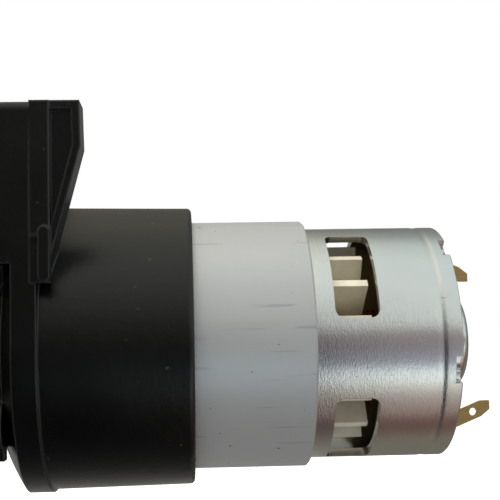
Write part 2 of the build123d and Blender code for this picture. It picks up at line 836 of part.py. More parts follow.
def make_commutator():
    with BuildPart() as commutator_base:
        with BuildSketch(across_motor(commutator_x - 1.4)):
            Circle(commutator_radius - 1.6)
            Circle(shaft_radius, mode=Mode.SUBTRACT)
        extrude(amount=commutator_length + 1.8)
    commutator_base.part.label = "commutator_base"
    export_step(commutator_base.part, "parts/commutator_base.step")
    with BuildPart() as commutator_bars:
        with BuildSketch(across_motor(commutator_x)):
            Circle(commutator_radius)
            Circle(commutator_radius - 1.6, mode=Mode.SUBTRACT)
            with PolarLocations(commutator_radius, poles, start_angle=180 / poles):
                Rectangle(2 * commutator_radius, 0.5, mode=Mode.SUBTRACT)
        extrude(amount=commutator_length)
        # Hooks that take the coil ends
        with BuildSketch(across_motor(commutator_x)):
            with PolarLocations(commutator_radius + 0.5, poles):
                Rectangle(1.8, 1.4)
        extrude(amount=1.0)
    commutator_bars.part.label = "commutator_bars"
    export_step(commutator_bars.part, "parts/commutator_bars.step")


def make_cooling_fan():
    """Nylon fan: hub, disc and straight blades."""
    x = seat_x + fan_start
    with BuildPart() as cooling_fan:
        with BuildSketch(across_motor(x)):
            Circle(fan_radius)
        extrude(amount=fan_disc)
        with BuildSketch(across_motor(x)):
            Circle(fan_hub)
        extrude(amount=fan_hub_depth)
        with BuildSketch(across_motor(x + fan_disc)):
            with PolarLocations((fan_radius + blade_foot) / 2, fan_blades, start_angle=fan_turn):
                Rectangle(fan_radius - blade_foot, 1.3)
        extrude(amount=fan_depth - fan_disc)
        with BuildSketch(across_motor(x)):
            Circle(shaft_radius)
        extrude(amount=fan_depth, mode=Mode.SUBTRACT)
    cooling_fan.part.label = "cooling_fan"
    export_step(cooling_fan.part, "parts/cooling_fan.step")


def make_shaft_spacers():
    """Sleeves that hold the core and commutator off the two bearings."""
    with BuildPart() as shaft_spacers:
        front_end = front_bearing_x + bearing_width
        core_face = seat_x + core_start - insulator
        base_end = commutator_x + commutator_length + 0.4
        for low, high in ((front_end, core_face), (base_end, rear_bearing_x)):
            with BuildSketch(across_motor(low)):
                Circle(shaft_radius + 1.1)
                Circle(shaft_radius, mode=Mode.SUBTRACT)
            extrude(amount=high - low)
    shaft_spacers.part.label = "shaft_spacers"
    export_step(shaft_spacers.part, "parts/shaft_spacers.step")


def make_motor_pinion():
    start = gear_1_x - 0.7
    with BuildPart() as motor_pinion:
        outline = gear_outline(
            start, motor_axis, pinion_module, pinion_teeth, shift_1, rotor_turn, shaft_radius
        )
        extrude(to_extrude=outline, amount=gear_1_width + 1.6)
    motor_pinion.part.label = "motor_pinion"
    export_step(motor_pinion.part, "parts/motor_pinion.step")


hub_radius = 4.5
bore = pin_radius + running_gap


def make_first_idler():
    """Nylon wheel on the hub of a steel pinion, turning together on the first pin."""
    with BuildPart() as first_idler_wheel:
        outline = gear_outline(
            gear_1_x, output_axis, pinion_module, gear_1_teeth, -shift_1, gear_1_turn, hub_radius
        )
        extrude(to_extrude=outline, amount=gear_1_width)
        for x, way in ((gear_1_x, 1), (gear_1_x + gear_1_width, -1)):
            with BuildSketch(across(x)):
                with Locations(output_axis):
                    Circle(15.2)
                    Circle(hub_radius + 2.2, mode=Mode.SUBTRACT)
            extrude(amount=way * 2.4, mode=Mode.SUBTRACT)
    first_idler_wheel.part.label = "first_idler_wheel"
    export_step(first_idler_wheel.part, "parts/first_idler_wheel.step")
    teeth_x = gear_2_x - 0.7
    with BuildPart() as first_idler_pinion:
        outline = gear_outline(
            teeth_x, output_axis, pinion_2_module, pinion_2_teeth, shift_2, 0, bore
        )
        extrude(to_extrude=outline, amount=gear_1_x - teeth_x)
        with BuildSketch(across(gear_1_x)):
            with Locations(output_axis):
                Circle(hub_radius)
                Circle(bore, mode=Mode.SUBTRACT)
        extrude(amount=gear_1_width)
    first_idler_pinion.part.label = "first_idler_pinion"
    export_step(first_idler_pinion.part, "parts/first_idler_pinion.step")


def make_second_idler():
    """Steel wheel on the hub of a steel pinion, turning together on the second pin."""
    with BuildPart() as second_idler_wheel:
        outline = gear_outline(
            gear_2_x, idler_2_axis, pinion_2_module, gear_2_teeth, -shift_2, gear_2_turn, hub_radius
        )
        extrude(to_extrude=outline, amount=gear_2_width)
        for x, way in ((gear_2_x, 1), (gear_2_x + gear_2_width, -1)):
            with BuildSketch(across(x)):
                with Locations(idler_2_axis):
                    Circle(13.6)
                    Circle(hub_radius + 2.2, mode=Mode.SUBTRACT)
            extrude(amount=way * 2.0, mode=Mode.SUBTRACT)
    second_idler_wheel.part.label = "second_idler_wheel"
    export_step(second_idler_wheel.part, "parts/second_idler_wheel.step")
    teeth_x = end_wall + 0.5
    with BuildPart() as second_idler_pinion:
        outline = gear_outline(
            teeth_x, idler_2_axis, pinion_3_module, pinion_3_teeth, shift_3, 0, bore
        )
        extrude(to_extrude=outline, amount=gear_2_x - teeth_x)
        with BuildSketch(across(gear_2_x)):
            with Locations(idler_2_axis):
                Circle(hub_radius)
                Circle(bore, mode=Mode.SUBTRACT)
        extrude(amount=gear_2_width)
    second_idler_pinion.part.label = "second_idler_pinion"
    export_step(second_idler_pinion.part, "parts/second_idler_pinion.step")


def make_gear_pins():
    """Fixed steel pins: the first runs on into the output shaft, the second spans the case."""
    with BuildPart() as gear_pins:
        for centre, start in ((output_axis, end_wall + 2), (idler_2_axis, 1.2)):
            with BuildSketch(across(start)):
                with Locations(centre):
                    Circle(pin_radius)
            extrude(amount=case_depth - 1.2 - start)
    gear_pins.part.label = "gear_pins"
    export_step(gear_pins.part, "parts/gear_pins.step")


def make_idler_spacer():
    low = gear_2_x + gear_2_width + 0.3
    with BuildPart() as idler_spacer:
        with BuildSketch(across(low)):
            with Locations(idler_2_axis):
                Circle(pin_radius + 0.85)
                Circle(pin_radius + 0.01, mode=Mode.SUBTRACT)
        extrude(amount=split_x + lobe_room - low)
    idler_spacer.part.label = "idler_spacer"
    export_step(idler_spacer.part, "parts/idler_spacer.step")


key_x = gear_3_x + (gear_3_width - key_length) / 2
key_y = output_axis[1] + output_radius - key_size / 2
clip_x = -pilot_height - 0.3 - 0.6


def make_output_shaft():
    """Output shaft with a flat, a key slot, a clip groove and a bore for the first pin's end."""
    end = gear_2_x - 1.0
    with BuildPart() as output_shaft:
        with BuildSketch(across(-output_reach)):
            with Locations(output_axis):
                Circle(output_radius)
        extrude(amount=output_reach + end)
        chamfer(output_shaft.edges().filter_by(GeomType.CIRCLE).sort_by(Axis.X)[0], 0.8)
        with BuildSketch(across(-output_reach)):
            with Locations((output_axis[0], output_axis[1] + output_radius)):
                Rectangle(3 * output_radius, 2 * flat_depth)
        extrude(amount=flat_length, mode=Mode.SUBTRACT)
        with BuildSketch(across(end)):
            with Locations(output_axis):
                Circle(bore)
        extrude(amount=-(end - end_wall - 1.4), mode=Mode.SUBTRACT)
        with BuildSketch(across(key_x)):
            with Locations((output_axis[0], key_y + key_size / 2)):
                Rectangle(key_size, key_size)
        extrude(amount=key_length, mode=Mode.SUBTRACT)
        with BuildSketch(across(clip_x - 1.0)):
            with Locations(output_axis):
                Circle(output_radius + 1)
                Circle(output_radius - 0.4, mode=Mode.SUBTRACT)
        extrude(amount=1.0, mode=Mode.SUBTRACT)
    output_shaft.part.label = "output_shaft"
    export_step(output_shaft.part, "parts/output_shaft.step")


def make_output_gear():
    with BuildPart() as output_gear:
        outline = gear_outline(
            gear_3_x, output_axis, pinion_3_module, gear_3_teeth, -shift_3, gear_3_turn, output_radius
        )
        extrude(to_extrude=outline, amount=gear_3_width)
        for x, way in ((gear_3_x, 1), (gear_3_x + gear_3_width, -1)):
            with BuildSketch(across(x)):
                with Locations(output_axis):
                    Circle(web_outer)
                    Circle(web_inner, mode=Mode.SUBTRACT)
            extrude(amount=way * web_depth, mode=Mode.SUBTRACT)
        with BuildSketch(across(gear_3_x)):
            with Locations((output_axis[0], key_y + key_size / 2)):
                Rectangle(key_size, key_size)
        extrude(amount=gear_3_width, mode=Mode.SUBTRACT)
    output_gear.part.label = "output_gear"
    export_step(output_gear.part, "parts/output_gear.step")


def make_output_key():
    with BuildPart() as output_key:
        with BuildSketch(across(key_x)):
            with Locations((output_axis[0], output_axis[1] + output_radius)):
                Rectangle(key_size, key_size)
        extrude(amount=key_length)
    output_key.part.label = "output_key"
    export_step(output_key.part, "parts/output_key.step")


def make_output_bush():
    with BuildPart() as output_bush:
        with BuildSketch(across(-pilot_height)):
            with Locations(output_axis):
                Circle(output_radius + wall)
        extrude(amount=pilot_height + end_wall)
        with BuildSketch(across(end_wall)):
            with Locations(output_axis):
                Circle(output_radius + wall + 1.5)
        extrude(amount=0.6)
        with BuildSketch(across(-pilot_height)):
            with Locations(output_axis):
                Circle(output_radius + running_gap)
        extrude(amount=pilot_height + end_wall + 1, mode=Mode.SUBTRACT)
    output_bush.part.label = "output_bush"
    export_step(output_bush.part, "parts/output_bush.step")


def make_output_washer():
    with BuildPart() as output_washer:
        with BuildSketch(across(clip_x)):
            with Locations(output_axis):
                Circle(output_radius + 3.5)
                Circle(output_radius + 0.02, mode=Mode.SUBTRACT)
        extrude(amount=0.6)
    output_washer.part.label = "output_washer"
    export_step(output_washer.part, "parts/output_washer.step")


def make_retaining_clip():
    with BuildPart() as retaining_clip:
        with BuildSketch(across(clip_x - 0.9)):
            with Locations(output_axis):
                Circle(output_radius + 2.4)
                Circle(output_radius - 0.38, mode=Mode.SUBTRACT)
            with Locations((output_axis[0], output_axis[1] - output_radius - 2)):
                Rectangle(5.0, 8.0, mode=Mode.SUBTRACT)
        extrude(amount=0.85)
    retaining_clip.part.label = "retaining_clip"
    export_step(retaining_clip.part, "parts/retaining_clip.step")


make_motor_case()
make_gear_cover()
make_case_screws()
make_motor_screws()
make_motor_can()
make_flux_ring()
make_magnets()
make_magnet_clips()
make_rear_end_plate()
make_brush_card()
make_brush_boxes()
make_carbon_brushes()
make_brush_springs()
make_terminal_blades()
make_bearing_rings()
make_motor_shaft()
make_rotor_core()
make_core_insulators()
make_windings()
make_commutator()
make_cooling_fan()
make_shaft_spacers()
make_motor_pinion()
make_first_idler()
make_second_idler()
make_gear_pins()
make_idler_spacer()
make_output_shaft()
make_output_gear()
make_output_key()
make_output_bush()
make_output_washer()
make_retaining_clip()
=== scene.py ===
import json
import math

import bmesh
import bpy
from mathutils import Matrix, Vector


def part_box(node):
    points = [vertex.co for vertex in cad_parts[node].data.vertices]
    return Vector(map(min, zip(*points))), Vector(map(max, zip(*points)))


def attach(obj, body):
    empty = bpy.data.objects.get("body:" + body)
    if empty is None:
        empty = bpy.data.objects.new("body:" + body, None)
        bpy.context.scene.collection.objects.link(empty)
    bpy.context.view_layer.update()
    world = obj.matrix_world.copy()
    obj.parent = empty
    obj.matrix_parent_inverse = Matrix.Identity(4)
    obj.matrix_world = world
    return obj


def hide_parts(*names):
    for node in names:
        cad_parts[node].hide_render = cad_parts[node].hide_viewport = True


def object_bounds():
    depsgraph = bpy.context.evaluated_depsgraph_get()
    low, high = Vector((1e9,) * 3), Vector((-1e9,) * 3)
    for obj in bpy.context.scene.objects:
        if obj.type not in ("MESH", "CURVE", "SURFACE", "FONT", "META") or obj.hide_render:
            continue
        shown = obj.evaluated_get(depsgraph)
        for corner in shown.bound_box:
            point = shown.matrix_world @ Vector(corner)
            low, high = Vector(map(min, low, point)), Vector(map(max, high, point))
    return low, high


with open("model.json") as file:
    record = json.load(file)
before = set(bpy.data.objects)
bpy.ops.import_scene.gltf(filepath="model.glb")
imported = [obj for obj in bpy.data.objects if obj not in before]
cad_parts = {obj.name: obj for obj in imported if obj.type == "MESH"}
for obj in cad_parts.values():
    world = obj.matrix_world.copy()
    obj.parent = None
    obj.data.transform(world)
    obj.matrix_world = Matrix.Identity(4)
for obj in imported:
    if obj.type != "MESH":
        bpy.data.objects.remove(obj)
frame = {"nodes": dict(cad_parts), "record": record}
cadLow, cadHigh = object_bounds()
mm = 0.001
nodes = frame["nodes"]


def nodeBox(name):
    low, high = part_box(name)
    return low / mm, high / mm


canLow, canHigh = nodeBox("motor_can")
motorZ = (canLow.z + canHigh.z) / 2
canRadius = (canHigh.z - canLow.z) / 2
print("frame read, motor axis at z", round(motorZ, 2), "mm")


def newMaterial(name, color, roughness, metallic=0.0):
    made = bpy.data.materials.new(name)
    made.use_nodes = True
    shader = made.node_tree.nodes["Principled BSDF"]
    shader.inputs["Base Color"].default_value = (*color, 1)
    shader.inputs["Roughness"].default_value = roughness
    shader.inputs["Metallic"].default_value = metallic
    return made


def addNode(made, kind, **settings):
    node = made.node_tree.nodes.new(kind)
    for name, value in settings.items():
        if name in node.inputs:
            node.inputs[name].default_value = value
        else:
            setattr(node, name, value)
    return node


def link(made, start, end):
    made.node_tree.links.new(start, end)


def placed(made, stretch):  # object coordinates in millimetres, stretched along each axis
    place = addNode(made, "ShaderNodeTexCoord")
    mapping = addNode(made, "ShaderNodeMapping")
    mapping.inputs["Scale"].default_value = [s / mm for s in stretch]
    link(made, place.outputs["Object"], mapping.inputs["Vector"])
    return mapping.outputs["Vector"]


def noiseOn(made, stretch, scale, detail=4.0, rough=0.55):
    texture = addNode(made, "ShaderNodeTexNoise", Scale=scale, Detail=detail, Roughness=rough)
    link(made, placed(made, stretch), texture.inputs["Vector"])
    return texture.outputs["Fac"]


def ramp(made, source, stops):  # stops are (place, colour) pairs
    node = addNode(made, "ShaderNodeValToRGB")
    link(made, source, node.inputs["Fac"])
    elements = node.color_ramp.elements
    while len(elements) < len(stops):
        elements.new(0.5)
    for element, (place, color) in zip(elements, stops):
        element.position = place
        element.color = (*color, 1) if len(color) == 3 else color
    return node.outputs["Color"]


def grey(value):
    return (value, value, value)


def mixColor(made, factor, first, second):
    node = addNode(made, "ShaderNodeMix", data_type="RGBA")
    for socket, value in (("Factor_Float", factor), ("A_Color", first), ("B_Color", second)):
        target = next(s for s in node.inputs if s.identifier == socket)
        if hasattr(value, "links"):
            link(made, value, target)
        else:
            target.default_value = value if isinstance(value, float) else (*value, 1)
    return next(s for s in node.outputs if s.identifier == "Result_Color")


def spread(made, source, low, high):  # a texture's 0.3 to 0.7 brought to low and high
    node = addNode(made, "ShaderNodeMapRange")
    node.inputs["From Min"].default_value = 0.3
    node.inputs["From Max"].default_value = 0.7
    node.inputs["To Min"].default_value = low
    node.inputs["To Max"].default_value = high
    link(made, source, node.inputs["Value"])
    return node.outputs["Result"]


def shaderOf(made):
    return made.node_tree.nodes["Principled BSDF"]


def bumpFrom(made, heights):  # heights are (source, distance in mm) pairs, laid one on the other
    normal = None
    for source, distance in heights:
        node = addNode(made, "ShaderNodeBump", Strength=1.0, Distance=distance * mm)
        link(made, source, node.inputs["Height"])
        if normal is not None:
            link(made, normal, node.inputs["Normal"])
        normal = node.outputs["Normal"]
    link(made, normal, shaderOf(made).inputs["Normal"])


def softEdges(made, radius):  # shaded rounding of the edges, then the bumps over it
    rounded = addNode(made, "ShaderNodeBevel", Radius=radius * mm)
    shader = shaderOf(made)
    bump = shader.inputs["Normal"].links[0].from_node
    while bump.inputs["Normal"].links:
        bump = bump.inputs["Normal"].links[0].from_node
    link(made, rounded.outputs["Normal"], bump.inputs["Normal"])
    return rounded


def edgeHighlightMask(made, rounded, least):  # one on the rounded edges, nought on the flats; used to paint a lighter highlight onto the edges
    true = addNode(made, "ShaderNodeNewGeometry")
    dot = addNode(made, "ShaderNodeVectorMath", operation="DOT_PRODUCT")
    link(made, rounded.outputs["Normal"], dot.inputs[0])
    link(made, true.outputs["Normal"], dot.inputs[1])
    return ramp(made, dot.outputs["Value"], [(least, grey(1)), (0.995, grey(0))])


def satinBlackPlastic():
    made = newMaterial("satinBlackPlastic", (0.003, 0.003, 0.0028), 0.34)
    mottle = noiseOn(made, (1, 1, 1), 0.05, 6)
    specks = noiseOn(made, (1, 1, 1), 0.85, 2, 0.3)
    speckMask = ramp(made, specks, [(0.0, grey(0)), (0.765, grey(0)), (0.785, grey(1))])
    body = ramp(made, mottle, [(0.3, (0.002, 0.002, 0.002)), (0.7, (0.0042, 0.004, 0.0036))])
    color = mixColor(made, speckMask, body, (0.03, 0.028, 0.024))
    link(made, spread(made, mottle, 0.25, 0.33), shaderOf(made).inputs["Roughness"])
    bumpFrom(made, [(noiseOn(made, (1, 1, 1), 0.9, 5), 0.03), (noiseOn(made, (1, 1, 1), 0.16, 3), 0.06)])
    # painted highlight: the rounded edges get a lighter base colour that stands in for the light they catch
    edges = edgeHighlightMask(made, softEdges(made, 0.5), 0.9)
    link(made, mixColor(made, edges, color, (0.035, 0.036, 0.036)), shaderOf(made).inputs["Base Color"])
    return made


def drawnCanSteel():
    made = newMaterial("drawnCanSteel", (0.8, 0.8, 0.79), 0.2, 1.0)
    grain = noiseOn(made, (4.2, 1.1, 1.1), 1.0, 4, 0.6)  # short marks round the can, left by the drawing die
    cloud = noiseOn(made, (0.6, 1, 1), 0.08, 4)
    stain = noiseOn(made, (0.7, 1.4, 1.4), 0.35, 6, 0.65)
    stainMask = ramp(made, stain, [(0.0, grey(0)), (0.66, grey(0)), (0.72, grey(1))])
    tone = ramp(made, cloud, [(0.3, (0.77, 0.78, 0.765)), (0.7, (0.85, 0.855, 0.84))])
    link(made, mixColor(made, stainMask, tone, (0.62, 0.62, 0.6)), shaderOf(made).inputs["Base Color"])
    link(made, spread(made, grain, 0.14, 0.26), shaderOf(made).inputs["Roughness"])
    peel = noiseOn(made, (2.2, 1.5, 1.5), 1.6, 3, 0.5)  # coarse skin that breaks up the mirrored bands
    lines = noiseOn(made, (0.25, 3.5, 3.5), 1.0, 2, 0.3)
    scratch = ramp(made, lines, [(0.0, grey(0)), (0.74, grey(0)), (0.76, grey(1))])
    swell = noiseOn(made, (1, 1, 1), 0.12, 3)
    bumpFrom(made, [(grain, 0.022), (peel, 0.014), (scratch, 0.004), (swell, 0.03)])
    softEdges(made, 0.12)
    return made


def ringSteel():
    made = newMaterial("ringSteel", (0.47, 0.48, 0.485), 0.46, 0.4)
    cloud = noiseOn(made, (0.4, 1, 1), 0.06, 5)
    specks = noiseOn(made, (1, 1, 1), 0.9, 2, 0.3)
    speckMask = ramp(made, specks, [(0.0, grey(0)), (0.77, grey(0)), (0.79, grey(1))])
    tone = ramp(made, cloud, [(0.3, (0.45, 0.462, 0.47)), (0.7, (0.485, 0.492, 0.495))])
    spotted = mixColor(made, speckMask, tone, (0.16, 0.15, 0.14))
    scuff = noiseOn(made, (0.12, 2.2, 2.2), 0.5, 3, 0.4)  # long faint rubs along the motor
    scuffMask = ramp(made, scuff, [(0.0, grey(0)), (0.66, grey(0)), (0.7, grey(1))])
    link(made, mixColor(made, scuffMask, spotted, (0.38, 0.39, 0.41)), shaderOf(made).inputs["Base Color"])
    link(made, spread(made, noiseOn(made, (1, 1, 1), 0.7, 6), 0.42, 0.5), shaderOf(made).inputs["Roughness"])
    bumpFrom(made, [(noiseOn(made, (1, 1, 1), 2.2, 4), 0.006)])
    softEdges(made, 0.15)
    return made


def plainSteel(name="turnedSteel", color=(0.55, 0.56, 0.57), low=0.22, high=0.36, stretch=(7, 0.3, 0.3)):
    made = newMaterial(name, color, low, 1.0)
    lines = noiseOn(made, stretch, 1.0, 4)
    tone = [c * 0.86 for c in color]
    link(made, ramp(made, lines, [(0.35, tone), (0.65, color)]), shaderOf(made).inputs["Base Color"])
    link(made, spread(made, lines, low, high), shaderOf(made).inputs["Roughness"])
    bumpFrom(made, [(lines, 0.01)])
    softEdges(made, 0.1)
    return made


def mouldedPlastic(name, color, low=0.4, high=0.55, subsurface=0.0):
    made = newMaterial(name, color, low)
    cloud = noiseOn(made, (1, 1, 1), 0.3, 5)
    tone = [c * 0.85 for c in color]
    link(made, ramp(made, cloud, [(0.35, tone), (0.65, color)]), shaderOf(made).inputs["Base Color"])
    link(made, spread(made, cloud, low, high), shaderOf(made).inputs["Roughness"])
    if subsurface:
        shaderOf(made).inputs["Subsurface Weight"].default_value = subsurface
        shaderOf(made).inputs["Subsurface Scale"].default_value = 0.6 * mm
    bumpFrom(made, [(noiseOn(made, (1, 1, 1), 1.4, 3), 0.012)])
    softEdges(made, 0.12)
    return made


finishes = {
    "case_plastic": satinBlackPlastic(),
    "can_steel": drawnCanSteel(),
    "ring_steel": ringSteel(),
    "plain_steel": plainSteel(),
    "dark_steel": plainSteel("oiledGearSteel", (0.17, 0.17, 0.18), 0.3, 0.5, (1, 1, 1)),
    "fan_nylon": mouldedPlastic("creamNylon", (0.80, 0.74, 0.60), 0.42, 0.55, 0.15),
    "gear_nylon": mouldedPlastic("whiteNylon", (0.82, 0.81, 0.75), 0.4, 0.5, 0.15),
    "card_phenolic": mouldedPlastic("darkPhenolic", (0.06, 0.056, 0.05), 0.35, 0.5),
    "brass": plainSteel("stampedBrass", (0.78, 0.57, 0.22), 0.22, 0.38, (0.4, 4, 4)),
    "bronze": plainSteel("sinteredBronze", (0.50, 0.31, 0.14), 0.4, 0.6, (3, 3, 3)),
    "copper": plainSteel("enamelledCopper", (0.72, 0.32, 0.15), 0.2, 0.35, (4, 1, 1)),
    "carbon": mouldedPlastic("carbonGraphite", (0.03, 0.03, 0.033), 0.45, 0.6),
    "ferrite": mouldedPlastic("sinteredFerrite", (0.045, 0.045, 0.05), 0.5, 0.7),
    "insulator": mouldedPlastic("greenInsulation", (0.03, 0.13, 0.08), 0.4, 0.55),
}
for entry in frame["record"]["subparts"]:
    cadNode = nodes[entry["node"]]
    cadNode.data.materials.clear()
    cadNode.data.materials.append(finishes[entry["material_slot"]])
    for polygon in cadNode.data.polygons:
        polygon.material_index = 0
print("finishes made:", len(finishes))


def latheMesh(profile, segments):  # a closed outline of (x, radius) points turned about the motor's axis
    shape = bmesh.new()
    rings = []
    for step in range(segments):
        turn = 2 * math.pi * step / segments
        rings.append([
            shape.verts.new((x * mm, r * math.cos(turn) * mm, (motorZ + r * math.sin(turn)) * mm))
            for x, r in profile
        ])
    for here, there in zip(rings, rings[1:] + rings[:1]):
        for index in range(len(profile)):
            after = (index + 1) % len(profile)
            shape.faces.new((here[index], here[after], there[after], there[index]))
    bmesh.ops.recalc_face_normals(shape, faces=shape.faces)
    return shape


def addPrism(shape, outline, start, end, place):  # an outline run from start to end along place's own z
    low = [shape.verts.new(place @ Vector((u * mm, v * mm, start * mm))) for u, v in outline]
    high = [shape.verts.new(place @ Vector((u * mm, v * mm, end * mm))) for u, v in outline]
    shape.faces.new(low[::-1])
    shape.faces.new(high)
    for index in range(len(outline)):
        after = (index + 1) % len(outline)
        shape.faces.new((low[index], low[after], high[after], high[index]))


def roundedBox(length, width, radius, steps=6):
    points = []
    for corner, (sideU, sideV) in enumerate(((1, 1), (-1, 1), (-1, -1), (1, -1))):
        for step in range(steps + 1):
            turn = math.radians(90 * corner + 90 * step / steps)
            points.append((
                sideU * (length / 2 - radius) + radius * math.cos(turn),
                sideV * (width / 2 - radius) + radius * math.sin(turn),
            ))
    return points


def disc(middle, radius, steps=32):
    turns = [2 * math.pi * step / steps for step in range(steps)]
    return [(middle[0] + radius * math.cos(turn), middle[1] + radius * math.sin(turn)) for turn in turns]


def objectFrom(name, shape):
    mesh = bpy.data.meshes.new(name)
    shape.to_mesh(mesh)
    shape.free()
    made = bpy.data.objects.new(name, mesh)
    bpy.context.scene.collection.objects.link(made)
    return made


def cutWith(piece, cutters):
    bmesh.ops.recalc_face_normals(cutters, faces=cutters.faces)
    tool = objectFrom(piece.name + "Cutter", cutters)
    modifier = piece.modifiers.new("cut", "BOOLEAN")
    modifier.operation = "DIFFERENCE"
    modifier.solver = "EXACT"
    modifier.object = tool
    graph = bpy.context.evaluated_depsgraph_get()
    cut = bpy.data.meshes.new_from_object(piece.evaluated_get(graph))
    piece.modifiers.clear()
    piece.data = cut
    bpy.data.objects.remove(tool)


def dressed(piece, slot, node):
    piece.data.materials.clear()
    piece.data.materials.append(finishes[slot])
    for polygon in piece.data.polygons:
        polygon.use_smooth = True
        polygon.material_index = 0
    piece.data.set_sharp_from_angle(angle=math.radians(28))
    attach(piece, "housing")
    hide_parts(node)


can = {
    "radius": canRadius,
    "wall": 1.5,
    "frontWall": 1.6,
    "frontRound": 2.0,
    "boss": (8.75, 4.7, 1.6, 0.6),  # radius, height, end wall, rounding
    "pocket": 6.5,  # radius of the bearing's seat
    "bore": 4.0,  # radius of the shaft's hole
    "window": (45.5, 7.5, 18.5, 1.5, 51.8),  # start, length, width, corner, turn in degrees
    "windowFloor": 8.0,  # where the window punch starts, from the axis
    "bead": (3.5, 1.0, 0.09),  # back from the rim, half width, depth
    "rimRound": 0.35,
    "rimChamfer": 0.2,
    "crimp": (1.3, 0.4, 2.2, 4.6),  # depth, middle inside the radius, size out, size round
    "crimpTurns": (12.7, 128.0, 192.7, 308.0),
    "screws": (14.5, 2.05),  # distance from the axis, radius
    "vents": (13.5, 2.4),
    "clear": 1.0,  # how far each punch runs past the metal
    "segments": 240,
}


def arc(middle, radius, start, end, steps):  # points about middle, angles in degrees from +x
    turns = [math.radians(start + (end - start) * step / steps) for step in range(steps + 1)]
    return [(middle[0] + radius * math.cos(turn), middle[1] + radius * math.sin(turn)) for turn in turns]


def canProfile(settings, seat, rim):
    radius = settings["radius"]
    inside = radius - settings["wall"]
    back, half, depth = settings["bead"]
    turned, lip, bevel = settings["rimRound"], settings["frontRound"], settings["rimChamfer"]
    bossRadius, bossHeight, bossWall, bossRound = settings["boss"]
    bossEnd = seat - bossHeight
    profile = [(bossEnd, settings["bore"]), (bossEnd + bossWall, settings["bore"])]
    profile += [(bossEnd + bossWall, settings["pocket"]), (seat + settings["frontWall"], settings["pocket"])]
    profile += [(seat + settings["frontWall"], inside), (rim - bevel, inside), (rim, inside + bevel)]
    profile += arc((rim - turned, radius - turned), turned, 0, 90, 5)
    for step in range(13):
        share = 1 - step / 6
        dent = depth * (0.5 + 0.5 * math.cos(math.pi * share))
        profile.append((rim - back + half * share, radius - dent))
    profile += arc((seat + lip, radius - lip), lip, 90, 180, 8)
    profile.append((seat, bossRadius))
    profile += arc((bossEnd + bossRound, bossRadius - bossRound), bossRound, 90, 180, 4)
    return profile


def canPunches(settings, seat, rim):
    cutters = bmesh.new()
    radius, clear = settings["radius"], settings["clear"]
    start, length, width, corner, turned = settings["window"]
    for quarter in range(4):
        angle = math.radians(turned + 90 * quarter)
        outward = Vector((0, math.cos(angle), math.sin(angle)))
        along = Vector((1, 0, 0))
        place = Matrix((along, outward.cross(along), outward)).transposed().to_4x4()
        place.translation = Vector((seat + start + length / 2, 0, motorZ)) * mm
        outline = roundedBox(length, width, corner)
        addPrism(cutters, outline, settings["windowFloor"], radius + 2 * clear, place)
    forward = Matrix(((0, 0, 1, 0), (1, 0, 0, 0), (0, 1, 0, motorZ * mm), (0, 0, 0, 1)))
    screwReach, screwRadius = settings["screws"]
    ventReach, ventRadius = settings["vents"]
    holes = [((side * screwReach, 0), screwRadius) for side in (-1, 1)]
    for quarter in range(4):
        angle = math.radians(45 + 90 * quarter)
        holes.append(((ventReach * math.cos(angle), ventReach * math.sin(angle)), ventRadius))
    through = seat + settings["frontWall"] + clear
    for middle, holeRadius in holes:
        addPrism(cutters, disc(middle, holeRadius), seat - clear, through, forward)
    deep, inset, across, wide = settings["crimp"]
    for turn in settings["crimpTurns"]:
        spin = Matrix.Rotation(math.radians(turn), 4, "Z")
        corners = ((1, 1), (-1, 1), (-1, -1), (1, -1))
        outline = [
            (spin @ Vector((radius - inset + u * across / 2, v * wide / 2, 0))).to_2d() for u, v in corners
        ]
        addPrism(cutters, outline, rim - deep, rim + clear, forward)
    return cutters


def makeMotorCan(settings):
    seat = canLow.x + settings["boss"][1]
    piece = objectFrom("drawnCan", latheMesh(canProfile(settings, seat, canHigh.x), settings["segments"]))
    cutWith(piece, canPunches(settings, seat, canHigh.x))
    dressed(piece, "can_steel", "motor_can")
    return piece


makeMotorCan(can)
print("drawn can made")


studio = {
    "floorDrop": 14.0,  # below the lowest point, mm
    "floorSize": 6000.0,
    # light that the surfaces mirror, round the motor's axis: degrees up from the front, then the colour
    "nearCollar": [
        (-180, (0.5, 0.49, 0.46)), (-140, (0.32, 0.31, 0.29)), (-112, (0.12, 0.12, 0.115)),
        (-78, (0.03, 0.031, 0.034)), (-50, (0.012, 0.014, 0.017)), (-20, (0.014, 0.016, 0.018)),
        (-5, (0.03, 0.031, 0.032)), (12, (0.11, 0.11, 0.105)), (29, (0.38, 0.39, 0.36)),
        (46, (0.66, 0.66, 0.61)), (65, (0.86, 0.85, 0.78)), (89, (0.84, 0.83, 0.74)),
        (112, (0.78, 0.75, 0.64)), (135, (0.4, 0.37, 0.31)), (156, (0.24, 0.22, 0.19)),
        (180, (0.2, 0.2, 0.19)),
    ],
    "nearCan": [
        (-180, (0.15, 0.15, 0.14)), (-140, (0.17, 0.165, 0.13)), (-112, (0.19, 0.165, 0.13)),
        (-95, (0.14, 0.085, 0.07)), (-84, (0.16, 0.09, 0.078)), (-74, (0.32, 0.23, 0.2)),
        (-58, (0.42, 0.36, 0.33)), (-47, (0.62, 0.58, 0.53)), (-38, (0.98, 1.02, 0.99)),
        (-29, (0.9, 1.0, 1.04)), (-21, (0.34, 0.36, 0.42)), (-4, (0.27, 0.24, 0.25)),
        (9, (0.3, 0.26, 0.265)), (14, (0.58, 0.58, 0.56)), (21, (0.68, 0.72, 0.7)),
        (60, (0.66, 0.72, 0.71)), (90, (0.66, 0.74, 0.72)), (112, (0.54, 0.6, 0.58)),
        (128, (0.32, 0.345, 0.33)), (150, (0.21, 0.215, 0.2)), (180, (0.2, 0.2, 0.19)),
    ],
    "change": (0.09, 0.17),  # how far to the right the mirrored light turns from one to the other
    "softLight": (0.62, 0.62, 0.61),
}


